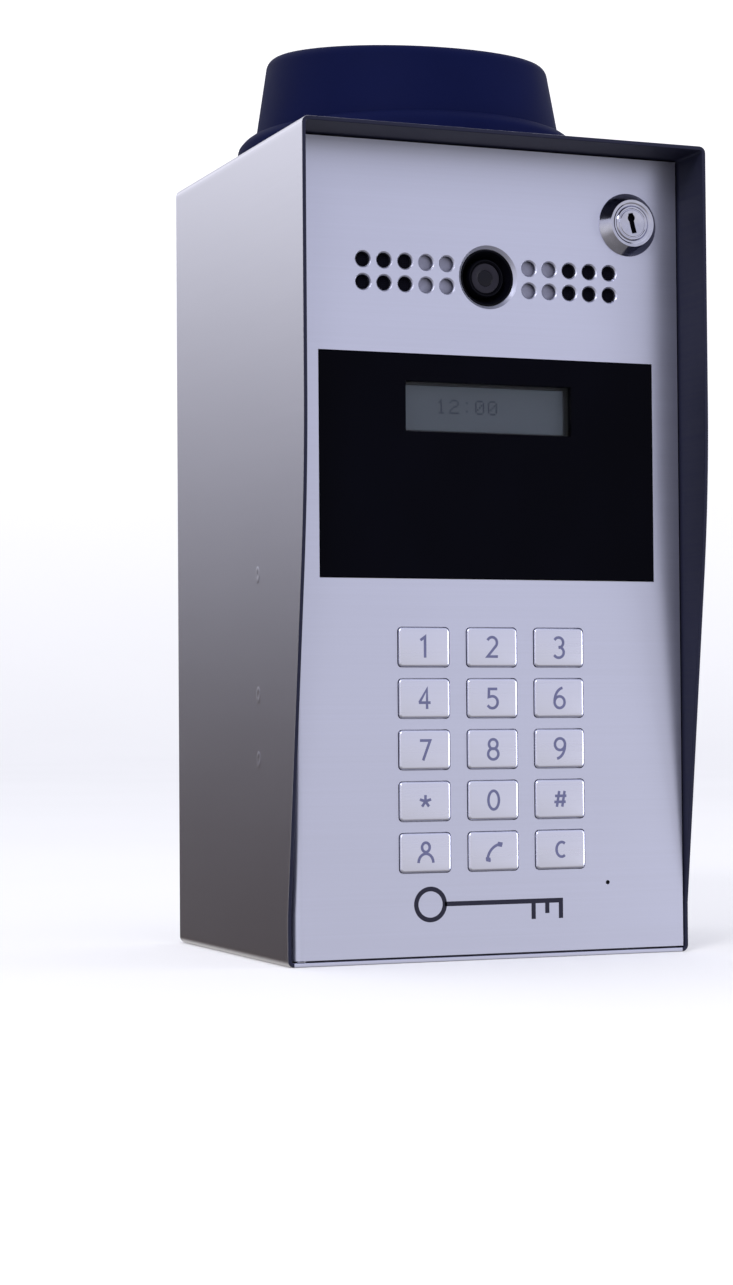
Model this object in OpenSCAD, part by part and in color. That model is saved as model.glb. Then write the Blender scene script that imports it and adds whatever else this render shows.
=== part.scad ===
// Keypad access reader: a hooded steel housing with a hinged, lockable front door.
// X runs left to right seen from the front, +Y to the back and +Z up. The origin is the centre
// of the footprint, at the underside.

/* [Housing] */
// Width over the side walls
body_w = 160; // [156:1:170]
// Height from the underside to the roof
body_h = 300; // [298:1:320]
// Depth from the door's face to the back
body_d = 126; // [120:1:150]
// How far the hood stands in front of the door
hood_d = 20; // [12:1:30]
// Sheet thickness of the housing
sheet = 1.5; // [1:0.1:2]
// Outer radius of the folded edges
fold_r = 2.5; // [2:0.1:4]
// Height at which the side walls become flush with the door
taper_z = 18; // [10:1:40]
// Height over which the side walls taper
taper_h = 154; // [120:1:170]

/* [Door] */
// Thickness of the door's steel
door_t = 2; // [1.5:0.1:2.5]
// Gap between the door and the housing, left and right
door_gap = 0.5; // [0.4:0.1:1]
// Gap between the door and the housing, top and bottom
end_gap = 0.7; // [0.6:0.1:1.5]
// Radius of the rolled hinge edge, whose centre is the hinge axis
roll_r = 4; // [3.8:0.1:5]
// Depth of the door's flanges behind its face
flange_y = 10.5; // [8:0.1:10.5]

/* [Display] */
// Width of the black window
window_w = 134; // [120:1:136]
// Height of the black window
window_h = 82; // [76:1:84]
// Height of the window's centre above the base
window_z = 179.7; // [178:0.1:181]
// Width of the visible display
lcd_w = 64.2; // [60:0.1:66]
// Height of the visible display
lcd_h = 16.4; // [14:0.1:17]

/* [Keypad] */
// Width of a key
key_w = 20; // [18:0.1:20.5]
// Height of a key
key_h = 14.3; // [13:0.1:14.8]
// Distance between key columns
key_dx = 27; // [26.5:0.1:28]
// Distance between key rows
key_dz = 18.6; // [18.4:0.1:19]
// Height of the top row's centre
key_top_z = 113.9; // [112:0.1:114.5]
// Gap between a key and the door, all round
key_gap = 0.25; // [0.2:0.05:0.4]
// How far a key travels when pressed
key_travel = 1.2; // [0.5:0.1:1.2]

/* [Camera and grille] */
// Height of the camera's centre
cam_z = 250; // [249:0.1:251]
// Radius of the camera's opening
cam_r = 10.6; // [10.5:0.1:11]
// Radius of a grille hole
hole_r = 2.7; // [2:0.1:2.8]
// Distance between grille holes
hole_pitch = 8.25; // [8:0.05:8.4]
// Distance from the camera's centre to the first column of holes
hole_x = 16.5; // [16.3:0.1:17]

/* [Lock] */
// Distance of the lock from the centre line
lock_x = 57.3; // [56.5:0.1:57.5]
// Height of the lock
lock_z = 272.7; // [272:0.1:273]
// Radius of the lock's chrome ring
lock_r = 11.8; // [11.5:0.1:12]
// Radius of the turning plug
plug_r = 6.45; // [6.4:0.01:6.48]

/* [Antenna] */
// Sideways place of the antenna
antenna_x = -10; // [-12:1:12]
// Radius of the antenna's base flange
antenna_r = 65; // [60:1:68]
// Height of the base flange
antenna_base_h = 9; // [7:0.5:10]
// Height of the dome's top above the roof, at its centre
antenna_h = 40; // [34:0.5:46]

/* [Mounting] */
// Distance between the post bolts, sideways and upwards
post_pitch = 100; // [80:1:104]
// Radius of a post bolt hole
post_hole_r = 3.5; // [2.5:0.1:4.5]
// Height of the pattern's centre, which is also the cable entry's
post_z = 130; // [120:1:132]
// Radius of the cable entry through its grommet
cable_r = 10; // [6:0.5:13]

/* [Hidden] */
$fn = 48;
door_y = -(body_d - hood_d) / 2;
wall_x = body_w / 2 - sheet;
roof_z = body_h - sheet;
back_y = body_d;
plate_t = 2;
flange_w = 10;
rear_flange_y = back_y - plate_t - sheet - 0.1;
screw_x = wall_x - flange_w / 2;
screw_zs = [14, body_h / 2, body_h - 14];

door_left = -wall_x + door_gap;
door_right = wall_x - door_gap - 0.2;
door_low = sheet + end_gap;
door_high = roof_z - end_gap;
hinge_x = door_left + roll_r;
hinge_y = roll_r;
pin_r = 1.5;
pin_hole_r = pin_r + 0.06;

seal_y = flange_y + 0.4;
frame_y = flange_y + 2.5;
frame_w = 7.5;

behind = door_t + 0.05;
lcd_z = window_z + 21.8;
window_t = 3.1;
retainer_y = window_t + 0.05;
retainer_t = 1.2;
lcd_post_x = 40;
lcd_post_dz = 15;
lcd_board_y = 11;

cols = [-key_dx, 0, key_dx];
rows = [for (r = [0:4]) key_top_z - r * key_dz];
key_front = -0.8;
key_bevel = 0.7;
key_corner = 1.5;
key_flange_t = 1.2;
guide_y = 8;
mat_t = 1;
keypad_board_y = guide_y + mat_t + 0.1;
board_t = 1.6;
ear_x = 46;
ear_zs = [48, 77, 106];

mic_x = 46.5;
mic_z = 26.8;
speaker_x = -43;
bracket_x = 27.6;
bracket_z = 18;
cam_post_x = 15;
cam_post_z = 14;
cam_stud_x = 22;
cam_stud_z = 14.5;
cam_board_y = 20;
cam_rim = 1.2;
hole_rim = 0.5;
barrel_r = 7;
barrel_y = 2;
lens_r = 5.6;
lens_y = 2.6;
lens_t = 4;

plug_bore_r = 6.5;
barrel_lock_r = 9.4;
barrel_flat = 8;
barrel_len = 16.9;
keyway_tilt = 12;
bezel_y = -4.5;
cam_reach = 18;
cam_half_w = 4.5;
cam_plate_t = 1.8;

main_y = back_y - plate_t - 12 - board_t;
main_x = 62;
main_low = 192;
main_high = 286;
main_post_x = 57;
main_post_zs = [main_low + 5, main_high - 5];
lead_r = 2.2;
lead_bend_r = 12;
lead_z = 246;
antenna_y = (body_d - hood_d) / 2;
stud_r = 8;
stud_low = 282;
dome_low_r = 58.3;
dome_edge_r = 5;
dome_ring_r = 49;
dome_tilt = 0.108;
dome_wall = 2.5;

// Block between two corners, with its depths measured from the door's face.
module block(x0, x1, y0, y1, z0, z1) {
    translate([x0, door_y + y0, z0]) cube([x1 - x0, y1 - y0, z1 - z0]);
}

// Round bar that runs front to back at (x, z), from depth y0 to depth y1.
module bar(x, z, y0, y1, r, r_end = -1) {
    translate([x, door_y + y0, z])
        rotate([-90, 0, 0])
            cylinder(h = y1 - y0, r1 = r, r2 = r_end < 0 ? r : r_end);
}

// Outline standing in the XZ plane, made solid from depth y0 to depth y1.
module upright(y0, y1) {
    translate([0, door_y + y1, 0])
        rotate([90, 0, 0])
            linear_extrude(height = y1 - y0)
                children();
}

// Rectangle between two corners.
module area(x0, x1, z0, z1) {
    translate([x0, z0]) square([x1 - x0, z1 - z0]);
}

// Rectangle between two corners with round corners, as exact arcs.
module round_area(x0, x1, z0, z1, r) {
    area(x0 + r, x1 - r, z0, z1);
    area(x0, x1, z0 + r, z1 - r);
    for (x = [x0 + r, x1 - r])
        for (z = [z0 + r, z1 - r])
            translate([x, z]) circle(r = r, $fn = 32);
}

// Rectangular ring whose outer edge lies inset inside the housing's outside.
module ring_area(inset, width, r) {
    difference() {
        round_area(inset - body_w / 2, body_w / 2 - inset, inset, body_h - inset, r);
        area(inset + width - body_w / 2, body_w / 2 - inset - width,
            inset + width, body_h - inset - width);
    }
}

// Side view of the housing: the hood's edge runs straight down, turns on a large arc and
// tapers back until it meets the door's face.
module side_view() {
    turn = atan(hood_d / taper_h);
    arc_r = 500;
    corner_z = taper_z + taper_h;
    arc_z = corner_z + arc_r * tan(turn / 2);
    arc = [for (k = [0:6])
        [arc_r - hood_d - arc_r * cos(turn * k / 6), arc_z - arc_r * sin(turn * k / 6)]];
    polygon(concat([[back_y, 0], [back_y, body_h], [-hood_d, body_h]], arc,
        [[0, taper_z], [0, 0]]));
}

module housing_shell() {
    color([0.68, 0.69, 0.76])
        difference() {
            union() {
                intersection() {
                    upright(-hood_d, back_y)
                        difference() {
                            round_area(-body_w / 2, body_w / 2, 0, body_h, fold_r);
                            round_area(-wall_x, wall_x, sheet, roof_z, fold_r - sheet);
                        }
                    translate([-body_w / 2, door_y, 0])
                        rotate([90, 0, 90])
                            linear_extrude(height = body_w) side_view();
                }
                upright(rear_flange_y, rear_flange_y + sheet) ring_area(sheet, flange_w, 1);
            }
            translate([antenna_x, 0, roof_z - 1])
                cylinder(h = sheet + 2, r = stud_r + 0.2);
            for (x = [-screw_x, screw_x])
                for (z = screw_zs)
                    bar(x, z, rear_flange_y - 1, back_y, 2);
        }
}

module back_plate() {
    color([0.62, 0.63, 0.68])
        difference() {
            upright(back_y - plate_t, back_y)
                round_area(0.2 - wall_x, wall_x - 0.2, sheet + 0.2, roof_z - 0.2, 1.5);
            for (x = [-screw_x, screw_x])
                for (z = screw_zs)
                    bar(x, z, back_y - plate_t - 0.01, back_y + 0.01, 2.1, 4.1);
            for (x = [-post_pitch / 2, post_pitch / 2])
                for (z = [post_z - post_pitch / 2, post_z + post_pitch / 2])
                    bar(x, z, back_y - plate_t - 1, back_y + 1, post_hole_r);
            bar(0, post_z, back_y - plate_t - 1, back_y + 1, cable_r + 7.5);
        }
}

module back_plate_screws() {
    color("silver")
        for (x = [-screw_x, screw_x])
            for (z = screw_zs) {
                bar(x, z, back_y - plate_t + 0.1, back_y, 2.05, 4);
                bar(x, z, back_y - plate_t - 4, back_y - plate_t + 0.1, 1.95);
            }
}

module door_frame() {
    color([0.55, 0.56, 0.6])
        upright(frame_y, frame_y + sheet) ring_area(sheet + 0.1, frame_w, 1.5);
}

module door_gasket() {
    color([0.08, 0.08, 0.09])
        upright(seal_y, frame_y - 0.05) ring_area(sheet + 1, frame_w - 2, 1.5);
}

// Pivot pins with a thrust washer, one at each end of the door.
module hinge_pins() {
    color("silver")
        translate([hinge_x, door_y + hinge_y, 0]) {
            translate([0, 0, roof_z - 8.5]) cylinder(h = 8.5, r = pin_r);
            translate([0, 0, roof_z - 0.5]) cylinder(h = 0.5, r = 2.6);
            translate([0, 0, sheet]) cylinder(h = 6.5, r = pin_r);
            translate([0, 0, sheet]) cylinder(h = 0.5, r = 2.6);
        }
}

module main_board() {
    color([0.05, 0.32, 0.16])
        difference() {
            block(-main_x, main_x, main_y, main_y + board_t, main_low, main_high);
            for (x = [-main_post_x, main_post_x])
                for (z = main_post_zs)
                    bar(x, z, main_y - 1, main_y + board_t + 1, 1.6);
        }
}

module board_standoffs() {
    color([0.8, 0.7, 0.35])
        for (x = [-main_post_x, main_post_x])
            for (z = main_post_zs)
                difference() {
                    bar(x, z, main_y + board_t, back_y - plate_t, 3);
                    bar(x, z, main_y + board_t - 1, back_y - plate_t - 2, 1.5);
                }
}

module board_screws() {
    color("silver")
        for (x = [-main_post_x, main_post_x])
            for (z = main_post_zs) {
                bar(x, z, main_y - 2.2, main_y - 0.05, 2.8);
                bar(x, z, main_y - 0.1, main_y + board_t + 6, 1.45);
            }
}

// Four-way screw terminals along the board's lower edge, open downwards for the wires.
module terminal_blocks() {
    color([0.1, 0.45, 0.25])
        for (x = [-40, -12, 16])
            difference() {
                block(x, x + 21, main_y - 13, main_y - 0.1, main_low + 2, main_low + 14);
                for (k = [0:3])
                    translate([x + 3 + 5 * k, door_y + main_y - 8, main_low + 1])
                        cylinder(h = 9, r = 1.7, $fn = 24);
            }
}

module cellular_module() {
    color([0.72, 0.72, 0.75]) {
        block(-28, 12, main_y - 4, main_y - 0.1, 228, 262);
        block(-25, 9, main_y - 7, main_y - 4, 231, 259);
        bar(antenna_x, lead_z, main_y - 14, main_y - 7, 3.2);
    }
}

module board_components() {
    color([0.12, 0.12, 0.13]) {
        for (z = [214, 232])
            block(24, 43, main_y - 15, main_y - 0.1, z, z + 15);
        block(24, 44, main_y - 2.2, main_y - 0.1, 254, 274);
        block(-54, -38, main_y - 2.2, main_y - 0.1, 232, 242);
        for (z = [252, 266])
            bar(-46, z, main_y - 18, main_y - 0.1, 5);
    }
}

module antenna_base() {
    color([0.07, 0.08, 0.18])
        translate([antenna_x, 0, body_h])
            difference() {
                union() {
                    rotate_extrude($fn = 96)
                        polygon([[0, 0.05], [antenna_r, 0.05], [antenna_r, 5],
                            [antenna_r - 1.2, 7.6], [antenna_r - 3.5, antenna_base_h],
                            [0, antenna_base_h]]);
                    translate([0, 0, stud_low - body_h])
                        cylinder(h = body_h - stud_low + 1, r = stud_r);
                }
                translate([0, 0, stud_low - body_h - 1]) cylinder(h = 12, r = 3);
            }
}

// The dome's outside, shrunk by t all round: a low cone with a rounded edge, whose top rises
// towards the back.
module dome_solid(t, low) {
    hull() {
        translate([0, 0, low]) cylinder(h = 0.1, r = dome_low_r - t, $fn = 64);
        for (a = [0:15:345])
            translate([dome_ring_r * cos(a), dome_ring_r * sin(a),
                antenna_h - dome_edge_r + dome_tilt * dome_ring_r * sin(a)])
                sphere(r = dome_edge_r - t, $fn = 24);
        translate([0, 0, antenna_h - t]) cylinder(h = 1.5, r = 12, $fn = 32);
    }
}

module antenna_radome() {
    color([0.09, 0.1, 0.26])
        translate([antenna_x, 0, body_h])
            difference() {
                dome_solid(0, antenna_base_h + 0.05);
                dome_solid(dome_wall, antenna_base_h - 1);
            }
}

module antenna_nut() {
    color("silver")
        difference() {
            translate([antenna_x, 0, roof_z - 8]) cylinder(h = 7.95, r = 14, $fn = 6);
            translate([antenna_x, 0, roof_z - 9]) cylinder(h = 10, r = stud_r + 0.05);
        }
}

// Aerial lead from the stud down, round one bend and back to the radio module.
module antenna_lead() {
    lead_y = antenna_y;
    bend_z = lead_z + lead_bend_r;
    color([0.06, 0.06, 0.06]) {
        translate([antenna_x, door_y + lead_y, bend_z])
            cylinder(h = stud_low - 0.1 - bend_z, r = lead_r, $fn = 24);
        translate([antenna_x, door_y + lead_y + lead_bend_r, bend_z])
            rotate([-90, 0, -90])
                rotate_extrude(angle = 90, $fn = 48)
                    translate([lead_bend_r, 0]) circle(r = lead_r, $fn = 24);
        bar(antenna_x, lead_z, lead_y + lead_bend_r, main_y - 18, lead_r);
        bar(antenna_x, lead_z, main_y - 18, main_y - 14.1, 4.2);
    }
}

module cable_grommet() {
    color([0.07, 0.07, 0.07])
        difference() {
            union() {
                bar(0, post_z, back_y - plate_t - 3, back_y - plate_t - 0.05, cable_r + 10);
                bar(0, post_z, back_y - plate_t - 0.1, back_y, cable_r + 7.4);
            }
            bar(0, post_z, back_y - 6, back_y + 1, cable_r);
        }
}

module reed_switch() {
    color([0.9, 0.9, 0.88])
        block(wall_x - 7, wall_x - 1, frame_y + sheet + 0.1, frame_y + sheet + 6, 156, 172);
}

// Studs behind the door, as [x, z, length behind the steel].
function stud_places() = concat(
    [for (x = [-ear_x, ear_x]) for (z = ear_zs) [x, z, keypad_board_y + board_t + 3]],
    [for (x = [-70, 70]) for (z = [150, 210]) [x, z, retainer_y + retainer_t + 3]],
    [for (x = [-cam_stud_x, cam_stud_x]) for (s = [-1, 1])
        [x, cam_z + s * cam_stud_z, behind + 1.2 + 3]],
    [for (s = [-1, 1]) [speaker_x, cam_z + s * 19, behind + 3.2 + 3]]);

module stud_holes(y0, y1) {
    for (p = stud_places())
        bar(p[0], p[1], y0, y1, 1.7);
}

module door_panel() {
    color([0.7, 0.71, 0.83])
        difference() {
            union() {
                block(hinge_x, door_right, 0, door_t, door_low, door_high);
                rolled_edge();
                block(door_left, door_left + door_t, hinge_y, flange_y - 1.5,
                    door_low, door_high);
                block(door_right - door_t, door_right, 1, flange_y, door_low, door_high);
                for (z = [door_low, door_high - door_t]) {
                    block(hinge_x, door_right, 1, flange_y, z, z + door_t);
                    translate([hinge_x, door_y + hinge_y, z])
                        cylinder(h = door_t, r = roll_r - 0.5);
                }
            }
            for (z = [door_low, door_high - door_t])
                translate([hinge_x, door_y + hinge_y, z - 1])
                    cylinder(h = door_t + 2, r = pin_hole_r);
            block(-window_w / 2, window_w / 2, -1, door_t + 1,
                window_z - window_h / 2, window_z + window_h / 2);
            upright(-1, door_t + 1)
                for (x = cols)
                    for (z = rows)
                        translate([x, z]) key_outline(key_gap);
            bar(0, cam_z, -1, door_t + 1, cam_r);
            bar(0, cam_z, -0.01, cam_rim, cam_r + cam_rim + 0.01, cam_r);
            for (side = [-1, 1])
                for (k = [0:4])
                    for (z = [cam_z + hole_pitch / 2, cam_z - hole_pitch / 2]) {
                        x = side * (hole_x + k * hole_pitch);
                        bar(x, z, -1, door_t + 1, hole_r);
                        bar(x, z, -0.01, hole_rim, hole_r + hole_rim + 0.01, hole_r);
                    }
            intersection() {
                bar(lock_x, lock_z, -1, door_t + 1, barrel_lock_r + 0.1);
                block(lock_x - 20, lock_x + 20, -2, door_t + 2,
                    lock_z - barrel_flat - 0.1, lock_z + barrel_flat + 0.1);
            }
            bar(mic_x, mic_z, -1, door_t + 1, 0.8);
        }
}

// Quarter of a tube round the hinge axis, joining the door's face to its left flange.
module rolled_edge() {
    translate([hinge_x, door_y + hinge_y, door_low])
        intersection() {
            difference() {
                cylinder(h = door_high - door_low, r = roll_r);
                translate([0, 0, -1])
                    cylinder(h = door_high - door_low + 2, r = roll_r - door_t);
            }
            translate([-roll_r - 1, -roll_r - 1, 0])
                cube([roll_r + 1, roll_r + 1, door_high - door_low]);
        }
}

module door_studs() {
    color("silver")
        for (p = stud_places())
            bar(p[0], p[1], door_t, p[2], 1.5);
}

module door_nuts() {
    color("silver")
        for (p = stud_places())
            difference() {
                translate([p[0], door_y + p[2] - 2.9, p[1]])
                    rotate([-90, 0, 0]) cylinder(h = 2.2, r = 3.1, $fn = 6);
                bar(p[0], p[1], p[2] - 4, p[2] + 1, 1.55);
            }
}

module display_window() {
    color([0.02, 0.02, 0.04])
        block(0.2 - window_w / 2, window_w / 2 - 0.2, 0, window_t,
            window_z - window_h / 2 + 0.2, window_z + window_h / 2 - 0.2);
}

module window_retainer() {
    low = window_z - window_h / 2;
    high = window_z + window_h / 2;
    color([0.6, 0.6, 0.64])
        difference() {
            union() {
                block(-73, 73, behind, retainer_y + retainer_t, low - 5.5, high + 5.5);
                for (x = [-lcd_post_x, lcd_post_x])
                    for (s = [-1, 1])
                        bar(x, lcd_z + s * lcd_post_dz, retainer_y, lcd_board_y - 0.05, 2.5);
            }
            block(-window_w / 2 - 0.2, window_w / 2 + 0.2, 0, retainer_y,
                low - 0.2, high + 0.2);
            block(-36.5, 36.5, 0, 20, lcd_z - 13.4, lcd_z + 13.4);
            block(-56, 56, 0, 20, window_z - 34.5, window_z + 2);
            stud_holes(0, 20);
        }
}

module lcd_bezel() {
    color([0.1, 0.1, 0.11])
        difference() {
            block(-36, 36, 4.6, lcd_board_y - 0.05, lcd_z - 13, lcd_z + 13);
            block(-lcd_w / 2, lcd_w / 2, 4, lcd_board_y, lcd_z - lcd_h / 2, lcd_z + lcd_h / 2);
            block(-35, 35, 5.6, lcd_board_y, lcd_z - 12, lcd_z + 12);
        }
}

module lcd_glass() {
    color([0.3, 0.33, 0.38])
        block(-34.9, 34.9, 5.65, lcd_board_y - 0.1, lcd_z - 11.9, lcd_z + 11.9);
}

module lcd_board() {
    color([0.05, 0.3, 0.15])
        difference() {
            block(-43, 43, lcd_board_y, lcd_board_y + board_t, lcd_z - 18, lcd_z + 18);
            for (x = [-lcd_post_x, lcd_post_x])
                for (s = [-1, 1])
                    bar(x, lcd_z + s * lcd_post_dz, lcd_board_y - 1, lcd_board_y + 3, 1.5);
        }
}

module reader_antenna_board() {
    color([0.05, 0.25, 0.14])
        block(-60, 60, retainer_y + retainer_t + 0.05, retainer_y + retainer_t + 0.05 + board_t,
            window_z - 37.5, window_z + 3);
}

module camera_bracket() {
    color([0.66, 0.67, 0.74])
        difference() {
            union() {
                block(-bracket_x, bracket_x, behind, behind + 1.2,
                    cam_z - bracket_z, cam_z + bracket_z);
                for (x = [-cam_post_x, cam_post_x])
                    for (s = [-1, 1])
                        bar(x, cam_z + s * cam_post_z, behind + 0.5, cam_board_y - 0.05, 2.2);
            }
            bar(0, cam_z, 0, 6, cam_r - 0.15);
            stud_holes(0, 6);
        }
}

// Black funnel between the door's opening and the lens.
module camera_shroud() {
    color([0.02, 0.02, 0.02])
        difference() {
            bar(0, cam_z, 1.3, 8, cam_r - 0.25);
            bar(0, cam_z, 1.29, 8.01, cam_r - 0.8, barrel_r + 0.1);
        }
}

module camera_barrel() {
    color([0.06, 0.06, 0.06])
        difference() {
            bar(0, cam_z, barrel_y, cam_board_y - 0.05, barrel_r);
            bar(0, cam_z, barrel_y - 1, lens_y + lens_t + 0.1, lens_r + 0.1);
        }
}

module camera_lens() {
    color([0.12, 0.12, 0.16])
        intersection() {
            bar(0, cam_z, lens_y, lens_y + lens_t, lens_r);
            translate([0, door_y + lens_y + 12, cam_z]) sphere(r = 12, $fn = 96);
        }
}

module camera_board() {
    color([0.05, 0.25, 0.14])
        difference() {
            block(-19, 19, cam_board_y, cam_board_y + board_t, cam_z - 19, cam_z + 19);
            for (x = [-cam_post_x, cam_post_x])
                for (s = [-1, 1])
                    bar(x, cam_z + s * cam_post_z, cam_board_y - 1, cam_board_y + 3, 1.2);
        }
}

module speaker_mesh() {
    color([0.03, 0.03, 0.03])
        for (side = [-1, 1])
            block(side * 42.3 - 13.7, side * 42.3 + 13.7, behind, behind + 0.8,
                cam_z - 8.4, cam_z + 8.3);
}

module speaker() {
    color([0.1, 0.1, 0.1])
        difference() {
            union() {
                bar(speaker_x, cam_z, behind + 0.9, behind + 6, 14);
                bar(speaker_x, cam_z, behind + 5, behind + 12, 8);
                block(speaker_x - 4, speaker_x + 4, behind + 2, behind + 3.2,
                    cam_z - 23, cam_z + 23);
            }
            bar(speaker_x, cam_z, behind + 0.8, behind + 4.5, 12, 5);
            stud_holes(0, 20);
        }
}

module microphone() {
    color([0.75, 0.75, 0.78])
        bar(mic_x, mic_z, behind + 1.1, behind + 6, 3);
}

module microphone_boot() {
    color([0.05, 0.05, 0.05])
        difference() {
            bar(mic_x, mic_z, behind, behind + 6.5, 4.8);
            bar(mic_x, mic_z, 0, behind + 2, 0.8);
            bar(mic_x, mic_z, behind + 1, behind + 8, 3.05);
        }
}

// Outline shared by the guide and the keypad's board, with three fixing ears each side.
module keypad_outline() {
    area(-key_dx - 15.5, key_dx + 15.5, rows[4] - 9.5, rows[0] + 9.5);
    for (x = [-ear_x, ear_x])
        for (z = ear_zs)
            translate([x, z]) circle(r = 4, $fn = 32);
    for (z = ear_zs)
        area(-ear_x, ear_x, z - 4, z + 4);
}

// Guide plate with a pocket round each key's flange.
module keypad_guide() {
    color([0.2, 0.2, 0.22])
        difference() {
            upright(behind, guide_y) keypad_outline();
            for (x = cols)
                for (z = rows)
                    block(x - 11.45, x + 11.45, 1, guide_y + 1, z - 8.55, z + 8.55);
            stud_holes(0, 20);
        }
}

// Silicone sheet with one dome behind each key.
module keypad_mat() {
    color([0.35, 0.35, 0.37]) {
        block(-41, 41, guide_y + 0.05, guide_y + mat_t, rows[4] - 9, rows[0] + 9);
        for (x = cols)
            for (z = rows)
                bar(x, z, guide_y - 1.1, guide_y + 0.1, 3.6);
    }
}

module keypad_board() {
    color([0.05, 0.3, 0.15])
        difference() {
            upright(keypad_board_y, keypad_board_y + board_t) keypad_outline();
            stud_holes(0, 20);
        }
}

module lock_body() {
    color([0.85, 0.85, 0.87])
        difference() {
            union() {
                bar(lock_x, lock_z, bezel_y, 0, lock_r - 3, lock_r);
                intersection() {
                    bar(lock_x, lock_z, -0.1, barrel_len, barrel_lock_r);
                    block(lock_x - 20, lock_x + 20, -1, barrel_len + 1,
                        lock_z - barrel_flat, lock_z + barrel_flat);
                }
            }
            bar(lock_x, lock_z, bezel_y - 1, barrel_len + 1, plug_bore_r);
        }
}

module lock_nut() {
    color("silver")
        difference() {
            translate([lock_x, door_y + behind, lock_z])
                rotate([-90, 0, 0]) cylinder(h = 4, r = 12.7, $fn = 6);
            bar(lock_x, lock_z, 0, 10, barrel_lock_r + 0.05);
        }
}

module door_magnet() {
    color([0.3, 0.3, 0.32])
        block(door_right - door_t - 3.3, door_right - door_t - 0.1, 4.8, 9.8, 158, 170);
}

module lock_plug() {
    color([0.8, 0.8, 0.82])
        difference() {
            union() {
                bar(lock_x, lock_z, bezel_y + 0.1, barrel_len + 0.1, plug_r);
                block(lock_x - 3.9, lock_x + 3.9, barrel_len, barrel_len + 2.2,
                    lock_z - 3.9, lock_z + 3.9);
            }
            translate([lock_x, 0, lock_z])
                rotate([0, -keyway_tilt, 0]) {
                    block(-1, 1, bezel_y - 1, 6, -3.8, 3.8);
                    bar(0, 2, bezel_y - 1, 6, 1.5);
                }
            bar(lock_x, lock_z, 10, barrel_len + 3, 2.05);
        }
}

// Cam plate: hangs down when the lock is open and turns behind the door frame to lock.
module lock_cam() {
    color("silver")
        difference() {
            block(lock_x - cam_half_w, lock_x + cam_half_w,
                barrel_len + 0.3, barrel_len + 0.3 + cam_plate_t,
                lock_z - cam_reach, lock_z + 6);
            block(lock_x - 3.95, lock_x + 3.95, barrel_len, barrel_len + 4,
                lock_z - 3.95, lock_z + 3.95);
        }
}

module cam_screw() {
    color("silver") {
        bar(lock_x, lock_z, barrel_len + 2.25, barrel_len + 5, 5);
        bar(lock_x, lock_z, barrel_len - 5, barrel_len + 2.3, 2);
    }
}

// Bevelled bar profile: w wide, its front edges cut back.
module key_profile(w) {
    polygon([[-w / 2, behind + 0.1], [-w / 2, key_front + key_bevel],
        [key_bevel - w / 2, key_front], [w / 2 - key_bevel, key_front],
        [w / 2, key_front + key_bevel], [w / 2, behind + 0.1]]);
}

// Front view of a key with its round corners, grown by a gap all round.
module key_outline(gap) {
    round_area(-key_w / 2 - gap, key_w / 2 + gap, -key_h / 2 - gap, key_h / 2 + gap,
        key_corner + gap);
}

// One metal key: a bevelled cap, a flange that the door holds back and a plunger.
module key_at(col, row) {
    color([0.68, 0.69, 0.8])
        translate([cols[col], door_y, rows[row]]) {
            intersection() {
                translate([0, behind + 0.1, 0])
                    rotate([90, 0, 0])
                        linear_extrude(height = behind + 0.1 - key_front) key_outline(0);
                translate([0, 0, -key_h / 2]) linear_extrude(height = key_h) key_profile(key_w);
                translate([-key_w / 2, 0, 0])
                    rotate([0, 90, 0])
                        linear_extrude(height = key_w)
                            key_profile(key_h);
            }
            translate([-11.2, behind + 0.05, -8.35]) cube([22.4, key_flange_t, 16.7]);
            translate([0, behind + 1, 0])
                rotate([-90, 0, 0]) cylinder(h = 2.4, r = 3.2, $fn = 32);
        }
}

module key_1() { key_at(0, 0); }
module key_2() { key_at(1, 0); }
module key_3() { key_at(2, 0); }
module key_4() { key_at(0, 1); }
module key_5() { key_at(1, 1); }
module key_6() { key_at(2, 1); }
module key_7() { key_at(0, 2); }
module key_8() { key_at(1, 2); }
module key_9() { key_at(2, 2); }
module key_star() { key_at(0, 3); }
module key_0() { key_at(1, 3); }
module key_hash() { key_at(2, 3); }
module key_visitor() { key_at(0, 4); }
module key_call() { key_at(1, 4); }
module key_clear() { key_at(2, 4); }

housing_shell();
back_plate();
back_plate_screws();
door_frame();
door_gasket();
hinge_pins();
main_board();
board_standoffs();
board_screws();
terminal_blocks();
cellular_module();
board_components();
antenna_base();
antenna_radome();
antenna_nut();
antenna_lead();
cable_grommet();
reed_switch();
door_panel();
door_studs();
door_nuts();
display_window();
window_retainer();
lcd_bezel();
lcd_glass();
lcd_board();
reader_antenna_board();
camera_shroud();
camera_lens();
camera_barrel();
camera_board();
camera_bracket();
speaker_mesh();
speaker();
microphone();
microphone_boot();
keypad_guide();
keypad_mat();
keypad_board();
lock_body();
lock_nut();
door_magnet();
lock_plug();
lock_cam();
cam_screw();
key_1();
key_2();
key_3();
key_4();
key_5();
key_6();
key_7();
key_8();
key_9();
key_star();
key_0();
key_hash();
key_visitor();
key_call();
key_clear();
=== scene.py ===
"""Looks of the keypad access reader: a hooded steel box with a hinged door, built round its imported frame.

Lengths are in metres. Depths named "behind" are measured from the door's face towards the back.
"""

import math
import random

import bmesh
import bpy
from mathutils import Matrix, Vector


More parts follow.
